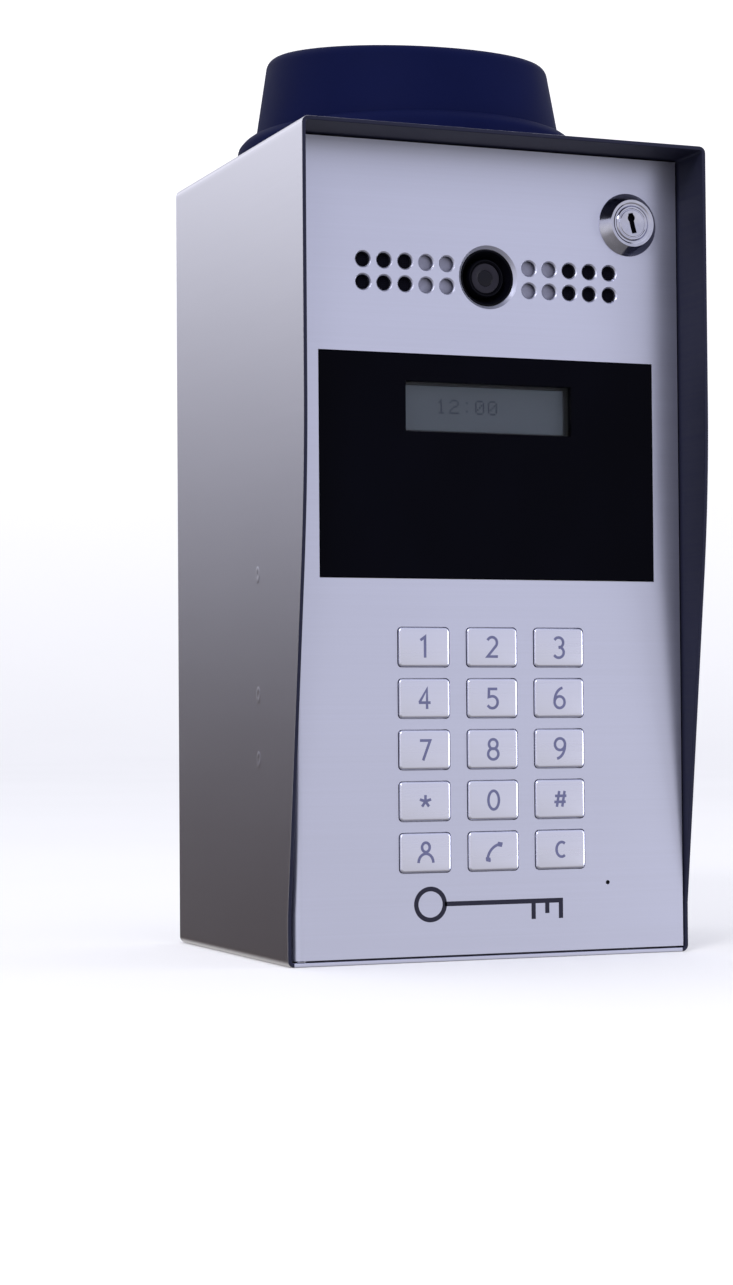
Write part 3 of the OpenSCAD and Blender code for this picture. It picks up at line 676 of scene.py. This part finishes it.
def build_key(label):
    """Metal key: a cap with round corners and a rolled edge, its flange, plunger and legend."""
    body = f"button_{label}"
    lo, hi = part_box(f"key_{label}")
    centre = (lo + hi) / 2
    flange_w, flange_y, flange_back = 1.2 * MM, face_y + 2.1 * MM, face_y + 3.3 * MM
    plunger_h, roll, roll_steps, corner, corner_share = 2.4, 0.85 * MM, 4, 1.5 * MM, 0.6
    stroke, proud, step_up = 1.0 * MM, 0.04 * MM, 0.006 * MM
    width, height, front = hi.x - lo.x - 2 * flange_w, hi.z - lo.z - 2 * flange_w, lo.y
    bm = bmesh.new()
    rings = [loop(bm, round_outline(width, height, corner), centre, flange_y)]
    for k in range(roll_steps + 1):
        a = math.pi / 2 * k / roll_steps
        inset = roll * (1 - math.cos(a))
        outline = round_outline(width - 2 * inset, height - 2 * inset,
                                corner - inset * corner_share)
        rings.append(loop(bm, outline, centre, front + roll * (1 - math.sin(a))))
    for first, second in zip(rings, rings[1:]):
        bridge(bm, first, second)
    cap(bm, rings[0][::-1])
    cap(bm, rings[-1])
    block(bm, (lo.x, flange_y, lo.z), (hi.x, flange_back, hi.z))
    lathe(bm, [(0, 0), (3.2, 0), (3.2, 2.1), (2.9, plunger_h), (0, plunger_h)],
          Vector((centre.x, hi.y - plunger_h * MM, centre.z)), steps=28)
    add_piece(f"cap_{label}", bm, body, key_steel, [f"key_{label}"], smooth=60)
    bm = bmesh.new()
    for number, line in enumerate(legend_lines(label)):
        points = [(centre.x + x * MM, centre.z + z * MM) for x, z in line]
        ribbon(bm, points, stroke, front, proud + step_up * number, len(line) == RING_POINTS)
    add_piece(f"legend_{label}", bm, body, legend_ink)


# ---- display

DOT_ROWS = {
    "1": ["00100", "01100", "00100", "00100", "00100", "00100", "01110"],
    "2": ["01110", "10001", "00001", "00110", "01000", "10000", "11111"],
    "0": ["01110", "10001", "10011", "10101", "11001", "10001", "01110"],
    ":": ["00000", "00100", "00000", "00000", "00000", "00100", "00000"],
}


def build_window():
    """One pane, printed black behind except over the display."""
    lo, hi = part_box("display_window")
    bezel = middle("lcd_bezel")
    wide, tall, soft, corner = hi.x - lo.x, hi.z - lo.z, 0.3 * MM, 0.8 * MM
    clear_w, clear_h, clear_corner = 66.4 * MM, 18.4 * MM, 0.3 * MM
    centre = (lo + hi) / 2
    aperture = round_outline(clear_w, clear_h, clear_corner)
    bm = bmesh.new()
    hole_front = loop(bm, aperture, bezel, lo.y)
    front = loop(bm, round_outline(wide - 2 * soft, tall - 2 * soft, corner - soft), centre, lo.y)
    side = loop(bm, round_outline(wide, tall, corner), centre, lo.y + soft)
    back = loop(bm, round_outline(wide, tall, corner), centre, hi.y)
    hole_back = loop(bm, aperture, bezel, hi.y)
    for first, second in ((hole_front, front), (front, side), (side, back), (back, hole_back)):
        bridge(bm, first, second)
    cap(bm, hole_front, 1)
    cap(bm, hole_back[::-1], 1)
    add_piece("window_pane", bm, "door", [window_black, window_clear],
              ["display_window"], smooth=30)


def build_display_dots():
    """Faint dot-matrix time, each dot a small square just in front of the display's glass."""
    lo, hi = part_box("lcd_glass")
    bm = bmesh.new()
    pitch, dot, proud, advance = 0.78 * MM, 0.66 * MM, 0.04 * MM, 6.6
    start_x, top_z = lo.x + 16 * MM, (lo.z + hi.z) / 2 + 2.9 * MM
    for position, character in enumerate("12:00"):
        for row, cells in enumerate(DOT_ROWS[character]):
            for column, cell in enumerate(cells):
                if cell == "0":
                    continue
                x = start_x + (position * advance + column) * pitch
                z = top_z - row * pitch
                block(bm, (x, lo.y - proud, z), (x + dot, lo.y, z + dot))
    add_piece("display_digits", bm, "door", lcd_ink)


# ---- camera and lock

def build_camera():
    """Lens barrel with stepped rings, a grey ring inside it and a small domed glass."""
    lens = middle("camera_lens")
    lo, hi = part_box("camera_barrel")
    back = (hi.y - lo.y) / MM
    centre = Vector((lens.x, lo.y, lens.z))
    bm = bmesh.new()
    closed_lathe(bm, [(7.0, back), (7.0, 0.5), (6.7, 0.05), (6.3, 0.0), (6.15, 0.3), (6.0, 0.3),
                      (5.85, 0.1), (5.75, 0.2), (5.72, 1.0), (5.7, 4.5), (3.6, 4.6),
                      (3.6, back)], centre)
    add_piece("lens_barrel", bm, "door", camera_black, ["camera_barrel"],
              smooth=40)
    bm = bmesh.new()
    glass_r, sag, behind_rim, glass_back, steps = 3.0, 0.25, 0.8, 3.0, 10
    angles = [math.pi / 2 * k / steps for k in range(steps + 1)]
    dome = [(glass_r * math.sin(a), behind_rim + sag * (1 - math.cos(a))) for a in angles]
    lathe(bm, [*dome, (glass_r, glass_back), (0, glass_back)], centre)
    add_piece("lens_glass", bm, "door", lens_coating, ["camera_lens"], smooth=40)
    bm = bmesh.new()
    closed_lathe(bm, [(5.7, 1.3), (5.5, 0.6), (5.2, 0.5), (3.5, 0.75), (3.1, 0.85), (3.0, 0.9),
                      (3.0, 2.6), (5.7, 2.6)], centre)
    add_piece("lens_ring", bm, "door", lens_grey, smooth=40)


def build_lock():
    """Chrome ring and threaded barrel of the cam lock. The barrel has two flats."""
    bore_r, ring_r, thread_r, root_r = 6.5, 11.8, 9.4, 9.05
    thread_start, turns, flat = 2.6, 14, 8 * MM
    lo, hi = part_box("lock_body")
    axis = middle("lock_body")
    centre = Vector((axis.x, face_y, axis.z))
    front = (lo.y - face_y) / MM
    back = (hi.y - face_y) / MM
    bm = bmesh.new()
    ring = [(bore_r, 0.0), (bore_r, front + 0.5), (6.7, front + 0.3), (7.3, front + 0.3),
            (7.8, front + 0.05), (8.8, front), (8.95, front + 0.15), (11.65, -0.35),
            (ring_r, -0.2), (ring_r, 0.0)]
    lathe(bm, ring, centre, steps=96)
    lathe(bm, [(ring_r, 0.0), (thread_r, 0.0)], centre, steps=96)
    thread = [(thread_r, 0.0)]
    pitch = (back - thread_start - 0.6) / turns
    for k in range(turns):
        y = thread_start + pitch * k
        thread += [(thread_r, y), (root_r, y + pitch / 2)]
    thread += [(thread_r, back - 0.5), (9.0, back), (bore_r, back), (bore_r, 0.0)]
    lathe(bm, thread, centre, steps=64)
    for vert in bm.verts:
        if vert.co.y > face_y + 0.01 * MM:
            vert.co.z = min(centre.z + flat, max(centre.z - flat, vert.co.z))
    add_piece("lock_barrel", bm, "door", chrome, ["lock_body"], smooth=20)


def keyway_reach(angle):
    """Distance from the plug's centre to the edge of its tilted keyhole, in millimetres.

    The keyhole is an upright slot with a wider round part of round_r, round_z above the centre.
    """
    slot_half_w, slot_half_h, round_r, round_z, nearly_zero = 1.0, 3.8, 1.5, 2.0, 1e-6
    tilt = math.radians(12)
    u, v = math.cos(angle - tilt), math.sin(angle - tilt)
    reach = min(slot_half_w / max(abs(u), nearly_zero), slot_half_h / max(abs(v), nearly_zero))
    inside = (round_z * v) ** 2 - round_z ** 2 + round_r ** 2
    if inside > 0 and v > 0:
        reach = max(reach, round_z * v + math.sqrt(inside))
    return reach


def build_plug():
    """Turning plug: dished face with a groove round it, a tilted keyhole and a square tail."""
    lo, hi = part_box("lock_plug")
    axis = middle("lock_body")
    steps, dish_r, dish, keyway_depth, tail, tail_half_w = 96, 4.6, 0.4, 1.7, 2.1, 3.9 * MM
    angles = spokes(steps)

    def ring(radii, depths):
        return [bm.verts.new((axis.x + r * MM * math.cos(a), lo.y + y * MM,
                              axis.z + r * MM * math.sin(a)))
                for a, r, y in zip(angles, radii, depths)]

    def dish_depth(radius):
        return dish * (1 + math.cos(math.pi * min(1, radius / dish_r))) / 2

    hole = [keyway_reach(a) for a in angles]
    bm = bmesh.new()
    rings = [ring(hole, [keyway_depth] * steps)]
    for share in (0.0, 0.12, 0.4, 0.7, 1.0):
        radii = [r + (dish_r - r) * share for r in hole]
        rings.append(ring(radii, [dish_depth(r) for r in radii]))
    for radius, depth in ((4.9, 0.0), (5.1, 0.2), (5.4, 0.22), (5.6, 0.02), (6.1, 0.0),
                          (6.45, 0.3), (6.45, (hi.y - lo.y) / MM - tail)):
        rings.append(ring([radius] * steps, [depth] * steps))
    for number, (first, second) in enumerate(zip(rings, rings[1:])):
        bridge(bm, first, second, 1 if number == 0 else 0)
    cap(bm, rings[0], 1)
    cap(bm, rings[-1])
    block(bm, (axis.x - tail_half_w, hi.y - tail * MM, axis.z - tail_half_w),
          (axis.x + tail_half_w, hi.y, axis.z + tail_half_w))
    add_piece("plug_turning", bm, "lock", [chrome, camera_black], ["lock_plug"],
              smooth=25)


# ---- fasteners and boards

def socket_screw(bm, centre, toward, head_r, head_h, shaft_r, length, countersunk=False):
    """Screw along Y: toward is -1 if its head faces the front. Six-sided socket in the head.

    Sizes are in millimetres. centre is where the head meets the shaft.
    """
    steps, sixth = 36, math.pi / 3
    socket_r = head_r * 0.5

    def ring(points, along):
        return [bm.verts.new(centre + Vector((x * MM, toward * along * MM, z * MM)))
                for x, z in points]

    angles = spokes(steps)

    def circle(radius):
        return [(radius * math.cos(a), radius * math.sin(a)) for a in angles]

    def hexagon(radius):
        sides = [radius * math.cos(sixth / 2) / math.cos(a % sixth - sixth / 2) for a in angles]
        return [(side * math.cos(a), side * math.sin(a)) for a, side in zip(angles, sides)]

    under = shaft_r if countersunk else head_r
    rings = [ring(hexagon(socket_r), head_h * 0.4), ring(hexagon(socket_r), head_h),
             ring(circle(head_r * 0.92), head_h), ring(circle(head_r), head_h * 0.86),
             ring(circle(under), 0), ring(circle(shaft_r), 0), ring(circle(shaft_r), -length),
             ring(circle(shaft_r * 0.7), -length - 0.3)]
    cap(bm, rings[0][::-1])
    for first, second in zip(rings, rings[1:]):
        bridge(bm, first, second)
    cap(bm, rings[-1])


def add_screws(name, body, node, spots, *sizes):
    """Screws of one kind at all the spots, in the place of one CAD node."""
    bm = bmesh.new()
    for spot in spots:
        socket_screw(bm, Vector(spot), *sizes)
    add_piece(name, bm, body, hardware_steel, [node], smooth=35)


def build_screws():
    """Back plate, board and cam screws in the places of their CAD solids."""
    lo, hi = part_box("back_plate_screws")
    rim = 4 * MM
    spots = [(x, hi.y - 2 * MM, z) for x in (lo.x + rim, hi.x - rim)
             for z in (lo.z + rim, (lo.z + hi.z) / 2, hi.z - rim)]
    add_screws("plate_screws", "housing", "back_plate_screws", spots, 1, 3.9, 2.0, 1.9, 3.5, True)
    lo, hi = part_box("board_screws")
    rim = 2.8 * MM
    spots = [(x, lo.y + 2.15 * MM, z) for x in (lo.x + rim, hi.x - rim)
             for z in (lo.z + rim, hi.z - rim)]
    add_screws("mainboard_screws", "housing", "board_screws", spots, -1, 2.8, 2.1, 1.4, 7.0)
    lo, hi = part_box("cam_screw")
    spots = [((lo.x + hi.x) / 2, hi.y - 2.7 * MM, (lo.z + hi.z) / 2)]
    add_screws("cam_bolt", "lock", "cam_screw", spots, 1, 5.0, 2.7, 1.9, 6.5)


def small_parts(name, body, board, side, count, seed, margin=7 * MM, clear=()):
    """Chips, chip resistors and solder joints spread over one side of a board.

    margin and clear are in metres. The other sizes are in millimetres, and w, h and t are
    a part's width, height and thickness.
    """
    tries, apart, leg_pitch = 12, 1.0, 1.1
    joint_w, joint_h, joint_t, joint_out = 0.7, 0.5, 0.35, 0.25
    rng = random.Random(seed)
    lo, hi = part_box(board)
    surface_y = lo.y if side < 0 else hi.y
    groups = {"chips": bmesh.new(), "resistors": bmesh.new(), "joints": bmesh.new()}
    placed = []
    for _ in range(count * tries):
        if len(placed) >= count:
            break
        kind = rng.choice(["chips", "resistors", "resistors", "resistors"])
        w, h, t = (rng.choice([(4, 5), (6, 6), (5, 3)]) + (1.2,)) if kind == "chips" else (
            rng.choice([(1.6, 0.8), (0.8, 1.6), (2.0, 1.2)]) + (0.55,))
        x = rng.uniform(lo.x + margin, hi.x - margin)
        z = rng.uniform(lo.z + margin, hi.z - margin)
        half = (w / 2 + apart) * MM, (h / 2 + apart) * MM
        blocked = any(abs(x - px) < half[0] + pw and abs(z - pz) < half[1] + ph
                      for px, pz, pw, ph in [*placed, *clear])
        if blocked:
            continue
        placed.append((x, z, w / 2 * MM, h / 2 * MM))
        ends = sorted((surface_y, surface_y + side * t * MM))
        block(groups[kind], (x - w / 2 * MM, ends[0], z - h / 2 * MM),
              (x + w / 2 * MM, ends[1], z + h / 2 * MM))
        legs = 4 if kind == "chips" else 1
        for k in range(legs):
            for s in (-1, 1):
                along = (k - (legs - 1) / 2) * leg_pitch * MM
                if kind == "chips" or w > h:
                    jx, jz = x + s * (w / 2 + joint_out) * MM, z + along
                else:
                    jx, jz = x + along, z + s * (h / 2 + joint_out) * MM
                joint = sorted((surface_y, surface_y + side * joint_t * MM))
                block(groups["joints"], (jx - joint_w / 2 * MM, joint[0], jz - joint_h / 2 * MM),
                      (jx + joint_w / 2 * MM, joint[1], jz + joint_h / 2 * MM))
    finishes = {"chips": chip_black, "resistors": ceramic, "joints": solder}
    for kind, bm in groups.items():
        if len(bm.verts):
            add_piece(f"{name}_{kind}", bm, body, finishes[kind],
                      bevel=0.06 * MM)
        else:
            bm.free()


def area_of(node, spare=1.0):
    """(x, z, half width, half height) of a node and spare millimetres round it, to keep clear."""
    lo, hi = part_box(node)
    return ((lo.x + hi.x) / 2, (lo.z + hi.z) / 2,
            (hi.x - lo.x) / 2 + spare * MM, (hi.z - lo.z) / 2 + spare * MM)


def build_board_details():
    """Small parts on the five boards, and the reader board's copper coil."""
    turns, first_inset, coil_pitch, track, proud = 6, 3 * MM, 1.3 * MM, 0.6 * MM, 0.04 * MM
    housing_clear = [area_of("cellular_module"), area_of("terminal_blocks"),
                     area_of("board_components", -8)]
    small_parts("mainboard", "housing", "main_board", -1, 34, 11, clear=housing_clear)
    for name, board, count, seed, margin in (
            ("keyboard", "keypad_board", 26, 12, 11), ("displayboard", "lcd_board", 12, 13, 6),
            ("cameraboard", "camera_board", 9, 14, 6),
            ("readerboard", "reader_antenna_board", 8, 15, 16)):
        small_parts(name, "door", board, 1, count, seed, margin * MM)
    lo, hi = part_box("reader_antenna_board")
    centre = (lo + hi) / 2
    bm = bmesh.new()
    for k in range(turns):
        inset = first_inset + coil_pitch * k
        outline = round_outline(hi.x - lo.x - 2 * inset, hi.z - lo.z - 2 * inset, 4 * MM)
        points = [(centre.x + x, centre.z + z) for x, z in outline]
        ribbon(bm, points, track, hi.y + proud, proud, closed=True)
    add_piece("reader_coil", bm, "door", gold)


def build_terminal_screws():
    """Clamp screws on the front of the three terminal blocks, four on each, with a bar as slot."""
    lo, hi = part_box("terminal_blocks")
    first, pitch, head_h, bar_w, bar_h, bar_t = 3, 5, 0.25, 2.6, 0.4, 0.05
    head = [(0.01, 0.0), (0.01, -head_h), (1.35, -head_h), (1.5, -0.1), (1.5, 0.0)]
    z = (lo.z + hi.z) / 2 + 1.5 * MM
    bm = bmesh.new()
    for start in (0, 28, 56):
        for k in range(4):
            x = lo.x + (start + first + pitch * k) * MM
            closed_lathe(bm, head, Vector((x, lo.y, z)), steps=20)
            block(bm, (x - bar_w / 2 * MM, lo.y - (head_h + bar_t) * MM, z - bar_h / 2 * MM),
                  (x + bar_w / 2 * MM, lo.y - head_h * MM, z + bar_h / 2 * MM))
    add_piece("terminal_screws", bm, "housing", hardware_steel)


def build_mark():
    """Plain key pictogram under the keys: a ring, a shank and three teeth."""
    z, stroke, proud = 20.8 * MM, 1.7 * MM, 0.04 * MM
    bow_x, bow_r, shank_end, steps = -25 * MM, 5.6 * MM, 28 * MM, 48
    bm = bmesh.new()
    bow = arc(bow_x, z, bow_r, bow_r, 0, 360 * (steps - 1) / steps, steps - 1)
    ribbon(bm, bow, stroke, face_y, proud, closed=True)
    ribbon(bm, [(bow_x + bow_r, z), (shank_end, z)], stroke, face_y, proud)
    for x, length in ((27.15, 6.6), (21.6, 4.6), (16.05, 6.6)):
        ribbon(bm, [(x * MM, z - stroke / 2), (x * MM, z - length * MM)], stroke, face_y, proud)
    add_piece("door_mark", bm, "door", mark_ink)


# ---- CAD nodes that stay

def finish_cad_nodes():
    kept = [
        (door_steel, "door_steel", 0.3, ["door_panel"]),
        (housing_steel, "housing_steel", 0.3, ["back_plate", "door_frame"]),
        (hardware_steel, "hardware_steel", 0.2,
         ["hinge_pins", "door_studs", "door_nuts", "antenna_nut", "lock_nut", "lock_cam",
          "window_retainer"]),
        (bracket_steel_painted_shade, "hardware_steel", 0.2, ["camera_bracket"]),
        (brass, "brass", 0.15, ["board_standoffs"]),
        (rubber, "rubber", 0.4, ["door_gasket", "cable_grommet", "antenna_lead",
                                 "microphone_boot"]),
        (mat_rubber, "rubber", 0.3, ["keypad_mat"]),
        (board_green, "circuit_board", 0.1,
         ["main_board", "lcd_board", "reader_antenna_board", "camera_board", "keypad_board"]),
        (terminal_green, "terminal_green", 0.3, ["terminal_blocks"]),
        (solder, "hardware_steel", 0.3, ["cellular_module", "microphone"]),
        (chip_black, "black_plastic", 0.35, ["board_components"]),
        (black_plastic, "black_plastic", 0.25, ["lcd_bezel", "speaker", "keypad_guide"]),
        (camera_black, "black_plastic", 0.15, ["camera_shroud"]),
        (white_plastic, "white_plastic", 0.5, ["reed_switch"]),
        (magnet_grey, "magnet", 0.3, ["door_magnet"]),
        (mesh_cloth, "speaker_mesh", 0.1, ["speaker_mesh"]),
        (lcd_painted_glow, "lcd", 0.1, ["lcd_glass"]),
    ]
    for finish, slot, width, names in kept:
        for name in names:
            softened(name, finish, width)
    darken_cut_edges_as_shade(nodes["door_panel"])


# ---- stage, light and camera

def build_stage():
    """Pale floor and backdrop in one sweep, brighter higher up. Only the camera sees it."""
    radius, cove, height, steps, cove_steps = 7.0, 2.0, 6.0, 96, 12
    angles = [math.pi / 2 * k / cove_steps for k in range(1, cove_steps + 1)]
    profile = [(0, 0), (radius - cove, 0)]
    profile += [(radius - cove + cove * math.sin(a), cove * (1 - math.cos(a))) for a in angles]
    profile.append((radius, height))
    bm = bmesh.new()
    lathe(bm, [(r / MM, z / MM) for r, z in profile], Vector((0, 0, shell_lo.z - 0.05 * MM)),
          "Z", steps)
    mesh = bpy.data.meshes.new("backdrop")
    bm.to_mesh(mesh)
    bm.free()
    paper = material("paper", (0.86, 0.86, 0.87), roughness=0.9, shade=0.01, scale=2)
    tree = paper.node_tree
    shader = tree.nodes["Principled BSDF"]
    shader.inputs["Emission Color"].default_value = (1, 1, 1, 1)
    link(tree, ranged(tree, split_axes(tree, "Object")["Z"], 0.05, 0.5, 0.0, 1.6),
         shader.inputs["Emission Strength"])
    mesh.materials.append(paper)
    mesh.shade_smooth()
    backdrop = bpy.data.objects.new("backdrop", mesh)
    scene.collection.objects.link(backdrop)
    backdrop.visible_glossy = False
    backdrop.visible_diffuse = False
    backdrop.visible_transmission = False
    backdrop.visible_shadow = False


def build_world():
    """Soft bright surroundings, with a steep fade to dark ground behind and to the left."""
    world = bpy.data.worlds.new("surroundings")
    scene.world = world
    world.use_nodes = True
    tree = world.node_tree
    background = tree.nodes["Background"]
    direction = split_axes(tree, "Generated")
    height = ranged(tree, direction["Z"], 0.0, 1.0, -1.0, 1.0)
    front = ramp_between(tree, height, [
        (0.0, (0.22, 0.21, 0.20)), (0.25, (0.36, 0.34, 0.32)), (0.4, (0.83, 0.81, 0.78)),
        (0.5, (0.88, 0.865, 0.86)), (0.62, (0.76, 0.76, 0.83)), (1.0, (0.95, 0.96, 1.04))])
    rear = ramp_between(tree, height, [
        (0.0, (0.50, 0.49, 0.48)), (0.3, (0.42, 0.40, 0.39)), (0.38, (0.17, 0.15, 0.14)),
        (0.44, (0.030, 0.016, 0.012)), (0.5, (0.10, 0.088, 0.095)), (0.56, (0.50, 0.50, 0.56)),
        (0.62, (1.28, 1.28, 1.36)), (1.0, (1.3, 1.3, 1.36))])
    behind = ranged(tree, direction["Y"], 0.0, 1.0, -0.2, 0.35)
    leftward = ranged(tree, direction["X"], 1.0, 0.0, -0.2, -0.02)
    mix = tree.nodes.new("ShaderNodeMix")
    mix.data_type = "RGBA"
    link(tree, multiplied(tree, behind, leftward), mix.inputs["Factor"])
    link(tree, front, mix.inputs[MIX_A])
    link(tree, rear, mix.inputs[MIX_B])
    link(tree, mix.outputs[MIX_RESULT], background.inputs["Color"])
    background.inputs["Strength"].default_value = 1.0


def soft_light(name, where, target, size, power, colour):
    """Round area lamp at a place, turned to a target."""
    lamp = bpy.data.lights.new(name, "AREA")
    lamp.shape = "DISK"
    lamp.size = size
    lamp.energy = power
    lamp.color = colour
    holder = bpy.data.objects.new(name, lamp)
    holder.location = where
    holder.rotation_euler = (Vector(target) - Vector(where)).to_track_quat("-Z", "Y").to_euler()
    scene.collection.objects.link(holder)


def build_camera_view():
    """Camera to the left of the reader and low, looking slightly up."""
    yaw, pitch, roll = math.radians(21.58), math.radians(1.66), math.radians(-0.42)
    ahead = Vector((math.sin(yaw) * math.cos(pitch), math.cos(yaw) * math.cos(pitch),
                    math.sin(pitch)))
    level = Vector((math.cos(yaw), -math.sin(yaw), 0))
    above = level.cross(ahead)
    right = level * math.cos(roll) + above * math.sin(roll)
    up = above * math.cos(roll) - level * math.sin(roll)
    lens = bpy.data.cameras.new("view")
    lens.lens = 76.46
    lens.sensor_width = 36
    lens.sensor_fit = "AUTO"
    lens.clip_start = 0.05
    holder = bpy.data.objects.new("view", lens)
    turned = Matrix((right, up, -ahead)).transposed().to_4x4()
    holder.matrix_world = Matrix.Translation((-0.4099, -0.965, 0.0871)) @ turned
    scene.collection.objects.link(holder)
    scene.camera = holder
    scene.view_settings.view_transform = "Standard"


build_camera_view()
build_stage()
build_world()
soft_light("key_light", (-1.3, -1.5, 1.5), (0, 0, 0.2), 0.8, 18, (1.0, 0.98, 0.96))
soft_light("rim_light", (1.5, -0.75, 0.15), (0, 0, 0.12), 0.9, 9, (0.97, 0.98, 1.0))

build_housing()
build_weld_marks()
build_antenna()
build_window()
build_display_dots()
build_camera()
build_lock()
build_plug()
build_screws()
build_board_details()
build_terminal_screws()
build_mark()
for key_label in KEYS:
    build_key(key_label)
finish_cad_nodes()
